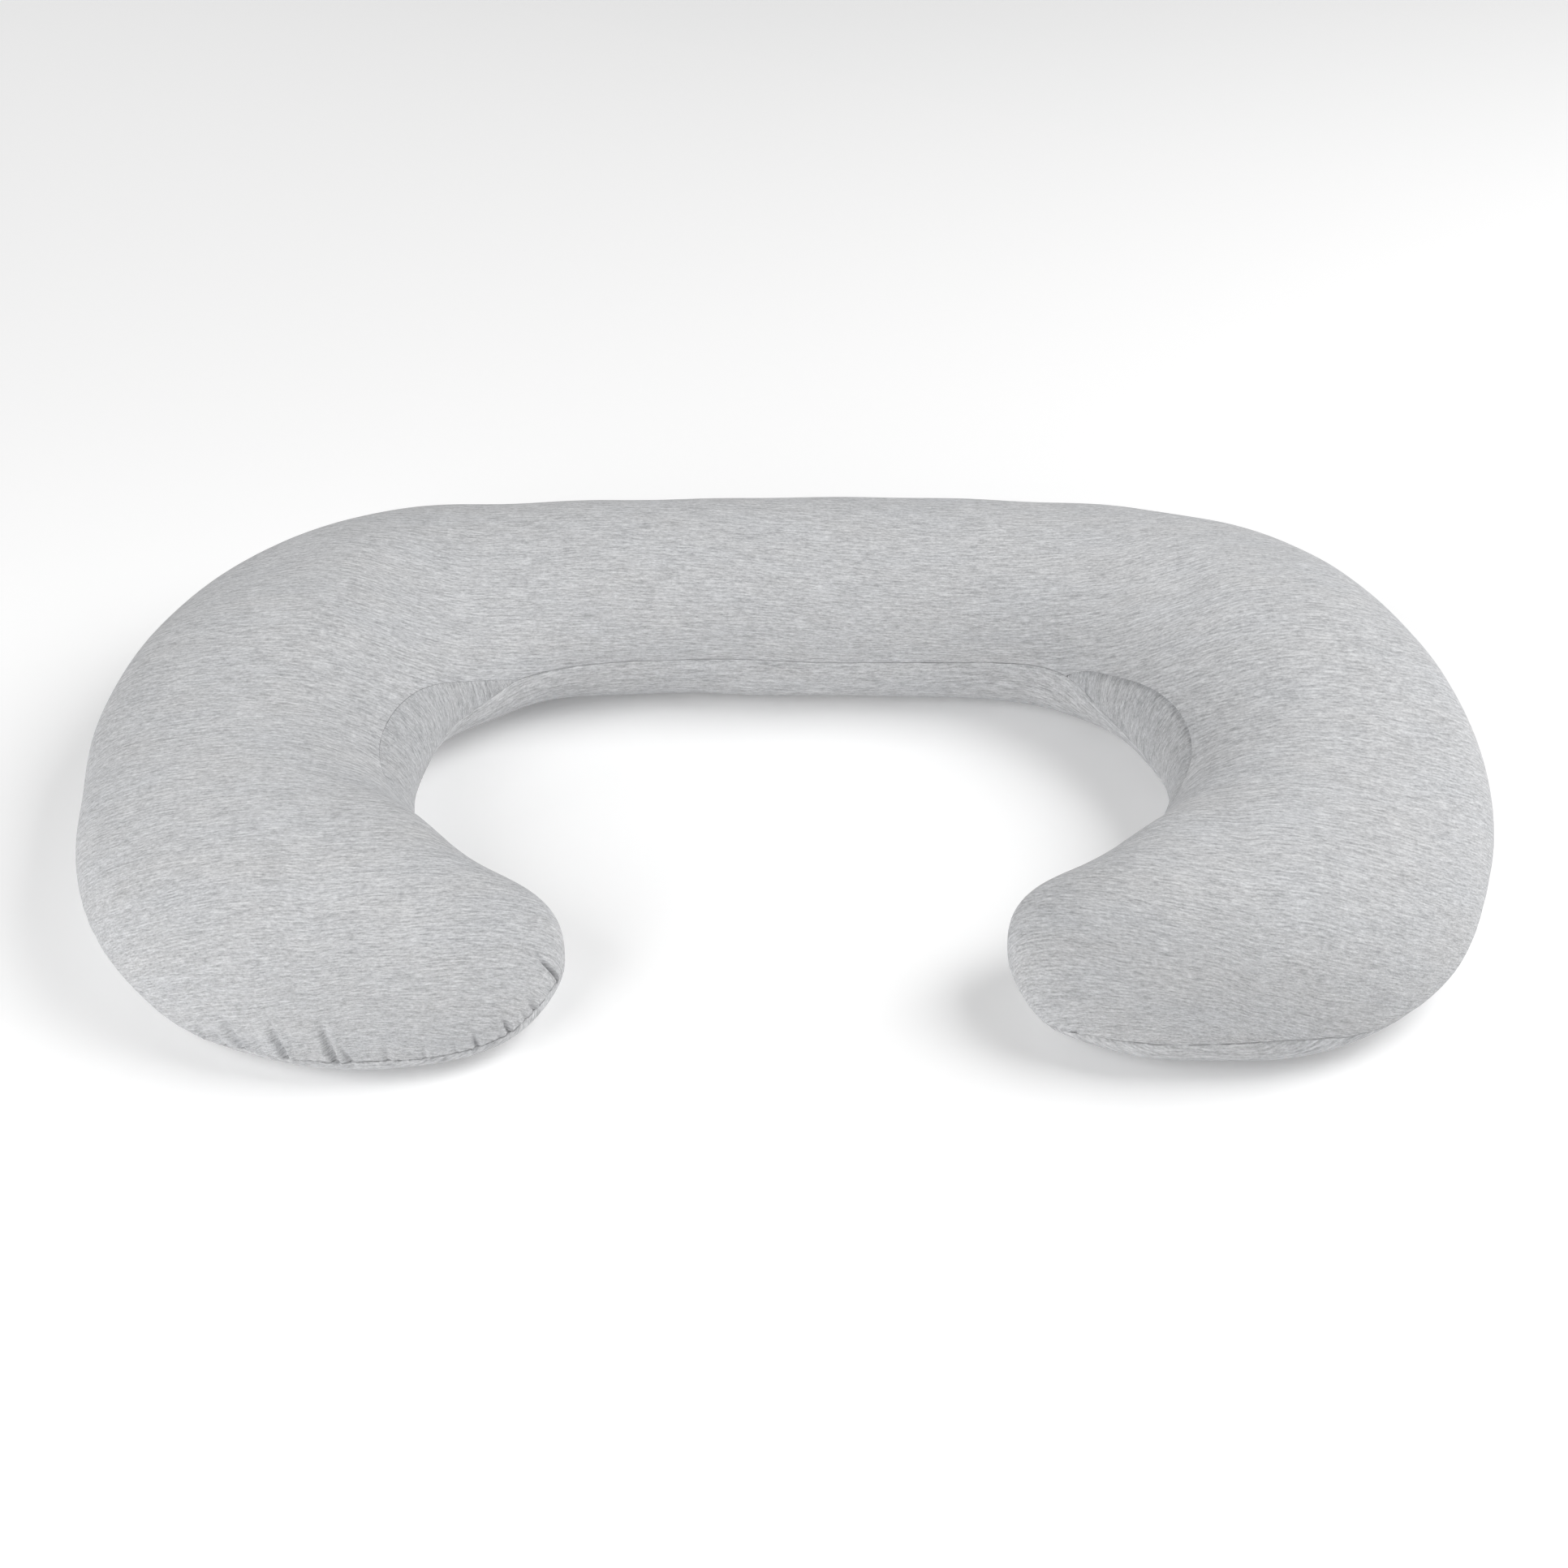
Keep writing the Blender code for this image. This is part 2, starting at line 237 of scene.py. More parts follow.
# The underside lies on the floor, and its cloth is wholly free to swell from this height up
FREE_HEIGHT = 0.012

# ---- the courses of the top panel's knit
# The courses slip forwards by this share of the way that the cloth is drawn down
COURSE_SLIP = 0.45
# On the back wall they slip no further below this height. How far a rib points back where that wall starts,
# and where it is reached
SLIP_BOTTOM = 0.150
BACK_WALL_FROM, BACK_WALL_TO = 0.3, 0.9
# On the right they slant, in front of this line
COURSE_SLANT = 0.3
COURSE_SLANT_BACK = 0.1
# They hang towards the hollow at its two corners, and level out again towards the lobes' tips
HANG = 0.037
HANG_FROM, HANG_TO = 0.32, 0.48
HANG_FRONT, HANG_BACK = -0.12, 0.15
LEVEL = 0.29
LEVEL_FROM = 0.41
LEVEL_BACK, LEVEL_FRONT = -0.02, -0.25
# Places where they lean as well: down to the right, or to the left where the slope is negative
COURSE_LEANS = [
    # x, y, reach, slope
    (0.030, 0.280, 0.300, 0.13),
    (-0.390, -0.290, 0.130, 0.20),
    (0.375, -0.290, 0.110, -0.20),
]

# ---- the loft's ribs and rows
RIB_STEP = 0.0068
GATHER_RIB_STEP = 0.0019
# The start of the tube's middle line, where the left lobe's gathers need closer ribs
GATHERED_SPAN = 0.11
TIP_RIB_STEP = 0.006
COARSE_RIB_STEP = 0.014
# The deepest gather needs closer ribs still, between these distances along the seam
CREASE_RIB_STEP = 0.0007
CREASE_START, CREASE_END = 0.154, 0.188
# Distances of the rows from a seam, as shares of a rib: close together in the groove
ROWS_FROM_SEAM = (
    0.004, 0.009, 0.015, 0.022, 0.030, 0.039, 0.048, 0.058, 0.068, 0.079, 0.091, 0.104, 0.118, 0.133, 0.149,
    0.167, 0.187, 0.210, 0.236,
)
PLAIN_ROWS_ABOVE = 22
PLAIN_ROWS_BELOW = 9
COARSE_ROWS_ABOVE = 13
COARSE_ROWS_BELOW = 8
BACKING_ROWS = 8
BACKING_EDGE = 0.006
GUSSET_RIBS = 260
GUSSET_ROWS = 30
SEAM_PIECES = 4000
WELD = 1e-5
# How far to either side a normal is measured, and the rib share from which it stands upright
NUDGE = 1e-3
UPRIGHT_FROM = 0.999
TINY = 1e-9
# The panels of cloth, told apart in the mesh by these numbers
TOP_PANEL = 0
UNDER_PANEL = 1
GUSSET_PANEL = 2
BACKING = 3

# ---- the jersey's looks
# The colours of the heather's dark, middle and light fibres
FIBRES = [(0.358, 0.362, 0.372), (0.537, 0.542, 0.552), (0.705, 0.710, 0.720)]
# The gussets' fibres are a little darker, painted shade for the hollow's inner corners where they sit, and
# their dashes finer, because their cloth is stretched the other way
GUSSET_PAINTED_SHADE = 0.90
GUSSET_FINENESS = 1.7
# Sizes of the heather's dashes along and across the courses, and how much each counts
HEATHER = [
    ((0.026, 0.0026), 0.50),
    ((0.010, 0.0019), 0.60),
    ((0.0042, 0.0017), 0.55),
    ((0.0018, 0.0014), 0.35),
    ((0.060, 0.012), 0.16),
]
HEATHER_CONTRAST = 0.34
# The courses wander a little: the size of their waves, and how high those are
COURSE_DRIFT = (0.05, 0.04)
COURSE_DRIFT_HEIGHT = 0.0008
# Faint patches of bluer and of warmer fibre: their size, and their colours
CLOUD = (0.10, 0.045)
CLOUD_DETAIL = 2.0
CLOUD_CONTRAST = 0.35
BLUER = (0.992, 1.0, 1.012)
WARMER = (1.008, 1.0, 0.992)
# The knit's relief: the sizes of its grains, and how much each counts
KNIT = [((0.0022, 0.0007), 0.7), ((0.009, 0.0011), 0.5), ((0.0009, 0.0009), 0.4)]
KNIT_HEIGHT = 0.00012
JERSEY_ROUGHNESS = 0.9
ROUGHNESS_SWING = 0.03
# A weak gloss and a soft nap, the same all over
JERSEY_FINISH = {"Specular IOR Level": 0.25, "Sheen Weight": 0.12, "Sheen Roughness": 0.5}
# A noise keeps close to its middle value, and this spreads it to between about -1 and 1
NOISE_MIDDLE = 0.5
NOISE_SPREAD = 4.0
# How far apart in the noise two panels lie, so that their dashes don't run on from one to the other
PANEL_STEP = 17.3

# ---- floor, light and camera
WHITE = (1, 1, 1, 1)
FLOOR_SIDE = 30.0
# The floor glows a little, like a light table, so that it stays pale all over
FLOOR_FINISH = {
    "Base Color": (0.92, 0.92, 0.92, 1),
    "Roughness": 0.9,
    "Emission Color": WHITE,
    "Emission Strength": 0.13,
}
WORLD_STRENGTH = 0.19
LIGHT_TARGET = (0.0, 0.0, 0.08)
SOFTBOXES = [
    # name, degrees from the front, degrees above the floor, distance, watts
    ("softbox_left", -50, 30, 2.8, 45),
    ("softbox_right", 90, 45, 4.0, 138),
]
# The softboxes are this wide for each metre of their distance
SOFTBOX_WIDTH = 0.72
# A weak lamp behind the pillow, on the left, keeps the floor's far corner pale
FLOOR_LIGHT = {
    "place": (-2.2, 2.6, 2.0),
    "target": (-1.2, 1.6, 0.0),
    "size": 2.0,
    "power": 6.5,
    "spread": math.radians(100),
}

PHOTO_SIDE = 1932
CAMERA_PITCH = math.radians(38)
CAMERA_DISTANCE = 2.6
CAMERA_TARGET = (0.0, -0.05, 0.08)
# The pillow is this many of the photograph's pixels long, which is this many metres at the target's distance
PILLOW_PIXELS = 1745
PILLOW_METRES = 1.38
FOCAL_PIXELS = PILLOW_PIXELS * CAMERA_DISTANCE / PILLOW_METRES
SENSOR = 36.0


# ---- curves
def closed_curve(at, length, places):
    """A smooth closed curve (a periodic cubic spline) through places, at the parameter values in at."""
    count = len(at)
    gap = np.diff(np.append(at, length))
    before = np.roll(gap, 1)
    slope = (np.roll(places, -1, 0) - places) / gap[:, None]
    system = np.diag(2 * (gap + before))
    for i in range(count):
        system[i, (i + 1) % count] += gap[i]
        system[i, (i - 1) % count] += before[i]
    bend = np.linalg.solve(system, 6 * (slope - np.roll(slope, 1, 0)))

    def place(t):
        """The points of the curve at the parameter values t."""
        t = np.mod(np.atleast_1d(np.asarray(t, float)), length)
        i = np.clip(np.searchsorted(at, t, side="right") - 1, 0, count - 1)
        j = (i + 1) % count
        step = gap[i][:, None]
        past = t[:, None] - at[i][:, None]
        left = step - past
        curved = (bend[i] * left**3 + bend[j] * past**3) / (6 * step)
        straight = (places[i] / step - bend[i] * step / 6) * left
        return curved + straight + (places[j] / step - bend[j] * step / 6) * past

    return place


def smooth_step(low, high, x):
    """0 up to low, 1 from high on, and smooth between them."""
    share = np.clip((x - low) / (high - low), 0, 1)
    return share * share * (3 - 2 * share)


def eased(x, table):
    """Reads a table of places and values, level at each place and smooth between them."""
    i = np.clip(np.searchsorted(table[:, 0], x) - 1, 0, len(table) - 2)
    return table[i, 1] + (table[i + 1, 1] - table[i, 1]) * smooth_step(table[i, 0], table[i + 1, 0], x)


# ---- the pillow's surface
class Pillow:
    """The pillow's surface. t is a place on the closed seam; v is 0 at the seam, 1 at the crown's middle line
    and -1 at the middle of the underside."""

    def __init__(self):
        rows = np.array([row[1:] for row in SECTIONS])
        outer, inner, seam = rows[:, 0:2], rows[:, 2:4], rows[:, 4]
        left, right = (np.reshape(LOBE_TIPS[side], (2, 2)) for side in ("left", "right"))
        count = len(rows)
        middle = (outer + inner) / 2
        along = np.append(0, np.cumsum(np.linalg.norm(np.diff(middle, axis=0), axis=1)))
        loop = np.vstack([outer, right, inner[::-1], left[::-1]])
        # The wall of the hollow keeps the middle line's steps, so that its ribs meet those from outside
        at = list(along)
        for k in range(count, len(loop)):
            if count + 2 < k < 2 * count + 2:
                at.append(at[-1] + along[2 * count + 2 - k] - along[2 * count + 1 - k])
            else:
                at.append(at[-1] + np.linalg.norm(loop[k] - loop[k - 1]))
        self.span = along[-1]
        self.total = at[-1] + np.linalg.norm(loop[0] - loop[-1])
        self.wall_start, self.wall_end = at[count + 2], at[2 * count + 1]
        self.seam = closed_curve(np.array(at), self.total, loop)
        heights = np.concatenate([seam, [seam[-1]] * 2, seam[::-1], [seam[0]] * 2])
        self.seam_height = closed_curve(np.array(at), self.total, heights[:, None])

    def middle(self, t):
        """The place of the middle line that the rib from t runs to."""
        t = np.mod(t, self.total)
        wall = (t >= self.wall_start) & (t <= self.wall_end)
        tip_right = (t > self.span) & (t < self.wall_start)
        m = np.where(wall, self.wall_end - t, np.where(tip_right, self.span, np.where(t <= self.span, t, 0)))
        return (self.seam(m) + self.seam(self.wall_end - m)) / 2

    def grid(self, t, v):
        """The surface's points for ribs at t and rib shares v, one row of v for each rib."""
        edge, middle = self.seam(t)[:, None], self.middle(t)[:, None]
        seam_z = self.seam_height(t)
        share = 1 - np.cos(np.abs(v) * math.pi / 2)
        crown = seam_z + (CROWN_Z - seam_z) * np.sqrt(1 - (1 - share) ** CROWN_POWER)
        turned = np.minimum(share / FLAT_SHARE, 1)
        under = seam_z * (1 - np.sqrt(1 - (1 - turned) ** 2))
        z = np.where(v >= 0, crown, under)
        plan = edge + (middle - edge) * share[..., None]
        return np.concatenate([plan, z[..., None]], axis=2)

    def distances(self, start, end, steps=2000):
        """Places t from start to end, and the distance run along the seam to each."""
        t = np.linspace(start, end, steps)
        line = self.seam(t)
        return t, np.append(0, np.cumsum(np.linalg.norm(np.diff(line, axis=0), axis=1)))


def normals(pillow, t, v):
    """Outward normals of the surface for ribs at t and rib shares v."""
    ribwise = pillow.grid(t, np.clip(v + NUDGE, -1, 1)) - pillow.grid(t, np.clip(v - NUDGE, -1, 1))
    lengthwise = pillow.grid(t + NUDGE, v) - pillow.grid(t - NUDGE, v)
    normal = np.cross(ribwise, lengthwise)
    size = np.linalg.norm(normal, axis=2, keepdims=True)
    upright = np.zeros_like(normal)
    upright[..., 2] = np.sign(v)
    flat = (size < TINY) | (np.abs(v)[..., None] > UPRIGHT_FROM)
    return np.where(flat, upright, normal / np.maximum(size, TINY))


# ---- where the seams run
def wall_run(pillow, t):
    """The distance along the hollow's wall, from its right end, to each t."""
    places, distance = pillow.distances(pillow.wall_start, pillow.wall_end)
    return np.interp(t, places, distance)


def seam_rise(pillow, t):
    """The share of its rib at which the sewn seam lies, at each t outside the gussets."""
    round_left, run_left = pillow.distances(pillow.wall_end, pillow.wall_end + pillow.total / 2)
    round_right, run_right = pillow.distances(pillow.wall_start, pillow.wall_start - pillow.total / 2)
    from_left = np.interp(np.mod(t - pillow.wall_end, pillow.total) + pillow.wall_end, round_left, run_left)
    from_right = np.interp(t, round_right[::-1], run_right[::-1])
    left, right = np.array(SEAM_RISE_LEFT), np.array(SEAM_RISE_RIGHT)
    left_share, right_share = eased(from_left, left), eased(from_right, right)
    half_way = pillow.span / 2
    wall = (t > pillow.wall_start) & (t < pillow.wall_end)
    right_half = (t > half_way) & (t <= pillow.wall_start)
    wall_share = eased(wall_run(pillow, t), np.array(SEAM_RISE_WALL))
    return np.where(wall, wall_share, np.where(right_half, right_share, left_share))


def lens(pillow, t):
    """The rib shares of the upper and the lower seam at each t, apart at the gussets alone."""
    run = wall_run(pillow, t)
    inside = (t > pillow.wall_start) & (t < pillow.wall_end)
    upper = seam_rise(pillow, t)
    lower = upper.copy()
    for _, start, middle, end, up, down, start_power, end_power in GUSSETS:
        half = np.where(run < middle, middle - start, end - middle)
        tall = np.where(inside, np.clip(1 - ((run - middle) / half) ** 2, 0, 1), 0)
        upper += up * tall ** np.where(run < middle, start_power, end_power)
        lower -= down * tall**LOWER_POWER
    return upper, lower


class SeamLine:
    """A closed seam on the pillow, in short straight pieces, which says how far points are from it."""

    def __init__(self, pillow, side):
        self.t = pillow.wall_end + np.arange(SEAM_PIECES) * pillow.total / SEAM_PIECES
        upper, lower = lens(pillow, np.mod(self.t, pillow.total))
        share = upper if side == "upper" else lower
        self.points = pillow.grid(self.t, share[:, None])[:, 0]
        self.after = np.roll(self.points, -1, 0)
        self.length = np.linalg.norm(self.after - self.points, axis=1)
        self.start = np.append(0, np.cumsum(self.length)[:-1])
        self.tree = KDTree(SEAM_PIECES)
        for i, place in enumerate(self.points):
            self.tree.insert(place, i)
        self.tree.balance()

    def near(self, places):
        """For each place, the distance run along the seam to the nearest point of it, and how far that is."""
        points = places.reshape(-1, 3)
        nearest = np.array([self.tree.find(p)[1] for p in points])
        best_far = np.full(len(points), np.inf)
        best_run = np.zeros(len(points))
        for piece in (nearest, (nearest - 1) % SEAM_PIECES):
            start, way = self.points[piece], self.after[piece] - self.points[piece]
            share = np.clip(((points - start) * way).sum(1) / self.length[piece] ** 2, 0, 1)
            far = np.linalg.norm(points - start - way * share[:, None], axis=1)
            closer = far < best_far
            best_far = np.where(closer, far, best_far)
            best_run = np.where(closer, self.start[piece] + share * self.length[piece], best_run)
        return best_run.reshape(places.shape[:-1]), best_far.reshape(places.shape[:-1])

    def run_at(self, t):
        """The distance along the seam, from the end of the hollow's left wall, to the rib at t."""
        return np.interp(np.mod(t - self.t[0], self.t[-1] - self.t[0]), self.t - self.t[0], self.start)


# ---- lofts and meshes
class Ring:
    """The ribs of a loft in order round the seam, and which of them share a point of the middle line."""

    def __init__(self, pillow, step, gather_step, tip_step, left_tip_step, crease_step):
        places = [0.0]
        while places[-1] < pillow.span:
            places.append(places[-1] + (gather_step if places[-1] < GATHERED_SPAN else step))
        along = np.array(places) * pillow.span / places[-1]
        right = self.tip(pillow, pillow.span, pillow.wall_start, tip_step, tip_step)
        left = self.tip(pillow, pillow.wall_end, pillow.total, left_tip_step, crease_step)
        wall = (pillow.wall_end - along)[::-1]
        self.t = np.concatenate([along, right, wall, left])
        count = len(along)
        wall_owner = np.arange(count)[::-1]
        self.owner = np.concatenate(
            [np.arange(count), np.full(len(right), count - 1), wall_owner, np.zeros(len(left), int)]
        )
        # The rib that carries on from this one over the middle line
        first_wall = count + len(right)
        self.partner = np.arange(len(self.t))
        self.partner[:count] = first_wall + wall_owner
        self.partner[first_wall:first_wall + count] = wall_owner

    @staticmethod
    def tip(pillow, start, end, step, crease_step):
        """Ribs round a lobe's tip, closer together at the deepest gather."""
        t, distance = pillow.distances(start, end)
        creased = (distance[1:] > CREASE_START) & (distance[1:] < CREASE_END)
        steps = np.append(0, np.cumsum(np.diff(distance) / np.where(creased, crease_step, step)))
        count = round(steps[-1])
        return np.interp(np.arange(1, count) * steps[-1] / count, steps, t)


def loft_faces(ring, rows):
    """The vertex numbers of a loft's grid, and its faces: quads, and triangles where a tip's ribs fan out."""
    ribs = len(ring.t)
    ids = np.arange(ribs * rows).reshape(ribs, rows)
    for row in (0, rows - 1):
        ids[:, row] = ids[ring.owner, row]
    after = np.roll(ids, -1, 0)
    quads = np.stack([ids[:, :-1], after[:, :-1], after[:, 1:], ids[:, 1:]], axis=2)
    faces = []
    for k in range(rows - 1):
        for quad in quads[:, k]:
            corners = list(dict.fromkeys(quad.tolist()))
            if len(corners) > 2:
                faces.append(corners)
    return ids, faces


def sheet_faces(ribs, rows):
    """The faces of a thin closed sheet: its front, its back, whose points follow the front's, and its rim."""
    back = ribs * rows
    ids = np.arange(back).reshape(ribs, rows)
    faces = []
    for i in range(ribs - 1):
        for k in range(rows - 1):
            quad = [int(n) for n in (ids[i, k], ids[i + 1, k], ids[i + 1, k + 1], ids[i, k + 1])]
            faces.append(quad)
            faces.append([n + back for n in reversed(quad)])
    rim = np.concatenate([ids[:, 0], ids[-1, 1:], ids[-2::-1, -1], ids[0, -2:0:-1]])
    for here, there in zip(rim.tolist(), np.roll(rim, -1).tolist()):
        faces.append([there, here, here + back, there + back])
    return faces


def mesh_object(name, points, faces):
    """A smooth shaded mesh object of the points that its faces use; returns it and the numbers of those."""
    used = np.unique(np.concatenate([np.array(f) for f in faces]))
    new = np.full(len(points), -1)
    new[used] = np.arange(len(used))
    mesh = bpy.data.meshes.new(name)
    mesh.from_pydata(points[used].tolist(), [], [new[f].tolist() for f in faces])
    mesh.update()
    mesh.shade_smooth()
    item = bpy.data.objects.new(name, mesh)
    bpy.context.scene.collection.objects.link(item)
    return item, used


def weld(item):
    """Joins points that lie on one another and drops the faces that had no width."""
    form = bmesh.new()
    form.from_mesh(item.data)
    bmesh.ops.remove_doubles(form, verts=form.verts, dist=WELD)
    bmesh.ops.dissolve_degenerate(form, edges=form.edges, dist=WELD / 10)
    loose = [corner for corner in form.verts if not corner.link_faces]
    bmesh.ops.delete(form, geom=loose, context="VERTS")
    form.to_mesh(item.data)
    form.free()


def store_plan(item, plan):
    """Stores the place of each point of a mesh on the flat cloth, for its material."""
    places = item.data.attributes.new("cloth", "FLOAT_VECTOR", "POINT").data
    places.foreach_set("vector", plan.astype(np.float32).ravel())


# ---- the filling
def lumps(points):
    """Broad unevenness of the filling, between about -2 and 2."""
    dice = np.random.default_rng(LUMP_SEED)
    total = np.zeros(points.shape[:-1])
    for _ in range(LUMP_WAVES):
        length = math.exp(dice.uniform(math.log(LUMP_SHORTEST), math.log(LUMP_LONGEST)))
        direction = dice.normal(size=3)
        direction /= np.linalg.norm(direction)
        total += np.sin(points @ direction * 2 * math.pi / length + dice.uniform(0, 2 * math.pi))
    return total / math.sqrt(LUMP_WAVES / 2)


def fullness(points):
    """How far the filling stands out, or back, from the plain loft at each point."""
    total = np.zeros(points.shape[:-1])
    for x, y, z, reach, height in FULLNESS:
        away = np.linalg.norm(points - (x, y, z), axis=-1)
        total += height * np.exp(-((away / reach) ** 2))
    return total


class Puff:
    """How far the filling pushes the cloth out, from a cloth simulation of a coarse closed cover."""

    def __init__(self, pillow):
        self.ring = Ring(pillow, *[COARSE_RIB_STEP] * 5)
        self.rows = np.concatenate(
            [np.linspace(1, 0, COARSE_ROWS_ABOVE + 1), np.linspace(0, -1, COARSE_ROWS_BELOW + 1)[1:]]
        )
        self.total = pillow.total
        ribs = len(self.ring.t)
        v = np.tile(self.rows, (ribs, 1))
        points = pillow.grid(self.ring.t, v)
        out = normals(pillow, self.ring.t, v)
        start = points - out * PUFF_START
        self.move = np.zeros_like(points)
        ids, faces = loft_faces(self.ring, len(self.rows))
        item, used = mesh_object("coarse_cover", start.reshape(-1, 3), faces)
        moved = self.simulate(item)
        bpy.data.objects.remove(item, do_unlink=True)
        all_points = start.reshape(-1, 3).copy()
        all_points[used] = moved
        move = self.blurred(all_points[ids] - points, 1)
        move -= self.blurred(move, PUFF_BLURS)
        size = np.linalg.norm(move, axis=2, keepdims=True)
        self.move = move * np.tanh(size / PUFF_CAP) * PUFF_CAP / np.maximum(size, TINY)

    @staticmethod
    def simulate(item):
        """Runs the cloth simulation on a mesh and returns where its points have moved to."""
        scene = bpy.context.scene
        cloth = item.modifiers.new("puff", "CLOTH")
        settings = cloth.settings
        settings.quality = PUFF_QUALITY
        settings.mass = PUFF_MASS
        settings.tension_stiffness = PUFF_STRETCH
        settings.compression_stiffness = PUFF_STRETCH
        settings.shear_stiffness = PUFF_SHEAR
        settings.bending_stiffness = PUFF_BENDING
        settings.use_pressure = True
        settings.uniform_pressure_force = PUFF_PRESSURE
        settings.effector_weights.gravity = 0
        cloth.collision_settings.use_collision = False
        for frame_number in range(1, PUFF_FRAMES + 1):
            scene.frame_set(frame_number)
        seen = item.evaluated_get(bpy.context.evaluated_depsgraph_get()).data
        found = np.empty(len(seen.vertices) * 3, np.float32)
        seen.vertices.foreach_get("co", found)
        scene.frame_set(1)
        return found.reshape(-1, 3).astype(float)

    def blurred(self, move, times):
        """The field after a number of light blurs along the ribs and across them."""
        for _ in range(times):
            move = (np.roll(move, 1, 0) + 2 * move + np.roll(move, -1, 0)) / 4
            wide = self.extend(move)
            move = (wide[:, :-2] + 2 * wide[:, 1:-1] + wide[:, 2:]) / 4
        return move

    def extend(self, move):
        """One more row past each middle line, from the rib on its other side."""
        over = move[self.ring.partner]
        return np.concatenate([over[:, 1:2], move, over[:, -2:-1]], axis=1)

    def at(self, t, v):
        """The push at ribs t and rib shares v, smooth between the coarse rows and ribs."""
        ribs = len(self.ring.t)
        wide = self.extend(self.move)
        where = np.interp(np.mod(t, self.total), np.append(self.ring.t, self.total), np.arange(ribs + 1))
        row = np.interp(-v, -self.rows, np.arange(len(self.rows)))
        return smooth_sample(wide, where[:, None] + np.zeros_like(v), row + 1, ribs)


def smooth_sample(field, along, across, ribs):
    """Catmull-Rom interpolation of a field that closes in a ring along its first axis."""
    def weights(share):
        """How much each of four neighbours counts, at a share of the way between the middle two."""
        s2, s3 = share * share, share**3
        return (
            (-share + 2 * s2 - s3) / 2,
            (2 - 5 * s2 + 3 * s3) / 2,
            (share + 4 * s2 - 3 * s3) / 2,
            (s3 - s2) / 2,
        )

    i = np.floor(along).astype(int)
    k = np.clip(np.floor(across).astype(int), 1, field.shape[1] - 3)
    total = 0
    for a, weight_a in enumerate(weights(along - i)):
        for b, weight_b in enumerate(weights(across - k)):
            sample = field[(i + a - 1) % ribs, np.clip(k + b - 1, 0, field.shape[1] - 1)]
            total = total + sample * (weight_a * weight_b)[..., None]
    return total


# ---- seams, gathers and puckers
def groove(distance, tight):
    """How deep the cloth lies at a distance from a seam: two puffed edges that meet in a narrow line."""
    share = np.clip(1 - distance / SEAM_WIDTH, 0, 1)
    return SEAM_DEPTH * tight * (1 - np.sqrt(1 - share**2))


def tightness(t):
    """How tight the seam is at each t, as a share of its depth, in a column with a row for each rib."""
    wave = sum(np.sin(2 * math.pi * t / length + phase) for length, phase in SEAM_WAVES)
    tight = SEAM_SLACK + (1 - SEAM_SLACK) * np.clip(0.5 + wave / 4, 0, 1)
    started = smooth_step(LOOSE_FROM - LOOSE_BLEND, LOOSE_FROM, t)
    ended = smooth_step(LOOSE_TO, LOOSE_TO + LOOSE_BLEND, t)
    return (tight * (1 - (1 - LOOSE_SHARE) * (started * (1 - ended))))[:, None]


def crease(across, half_width):
    """The depth of a gather across its own line, as a share of its whole depth."""
    x = across / half_width
    depth = np.exp(-(x**2))
    for place, reach, height in RIDGES:
        depth = depth - height * np.exp(-(((x - place) / reach) ** 2))
    return depth


def gather_depth(run, rise, table):
    """How far the cloth is drawn in at distances run along the seam and rise up from it."""
    depth = np.zeros_like(rise)
    for where, reach, half_width, deep, lean in table:
        across = run - where - lean * rise
        wide = half_width * (GATHER_NARROW + GATHER_WIDENING * rise / reach)
        fade = np.clip(1 - (rise / reach) ** GATHER_FADE_POWER, 0, 1)
        depth += deep * crease(across, wide) * fade
    return depth * (PINCH + (1 - PINCH) * np.clip(rise / PINCH_REACH, 0, 1))


def pinch_depth(run, drop, table):
    """How far the same gathers draw in the under panel, at distances run along the seam and drop below it."""
    at_seam = gather_depth(run, np.zeros_like(run), table)
    return at_seam * np.exp(-((drop / PINCH_REACH) ** 2))


def puckers(run, rise, height, length, reach, seed):
    """Fine uneven puckers that stand across a seam and fade away from it."""
    dice = np.random.default_rng(seed)
    total = np.zeros_like(rise)
    for share in PUCKER_WAVES:
        phase, drift = dice.uniform(0, 2 * math.pi, 2)
        warped = run + PUCKER_WANDER * np.sin(2 * math.pi * run / PUCKER_WANDER_LENGTH + drift)
        total += np.sin(2 * math.pi * warped / (length * share) + phase)
    uneven = PUCKER_MEAN + PUCKER_SWING * np.sin(2 * math.pi * run / PUCKER_SWING_LENGTH + seed)
    return height * total / 2 * uneven * np.exp(-rise / reach) * np.clip(rise / PUCKER_START, 0, 1)


def displaced(pillow, puff, t, v, base, depth):
    """The points base, at ribs t and rib shares v, puffed up, sunk by a depth, and never below the floor."""
    out = normals(pillow, t, v)
    free = np.where(v < 0, np.clip(base[..., 2] / FREE_HEIGHT, 0, 1), 1)[..., None]
    swell = lumps(base) * LUMP_HEIGHT + fullness(base) - depth
    points = base + (puff.at(t, v) + out * swell[..., None]) * free
    points[..., 2] = np.maximum(points[..., 2], 0)
    return points


# ---- how the cloth was cut
def cloth_lengths(base):
    """The length of cloth along each rib, from its first point to each of its points."""
    steps = np.linalg.norm(np.diff(base, axis=1), axis=2)
    return np.concatenate([np.zeros((len(base), 1)), np.cumsum(steps, axis=1)], axis=1)


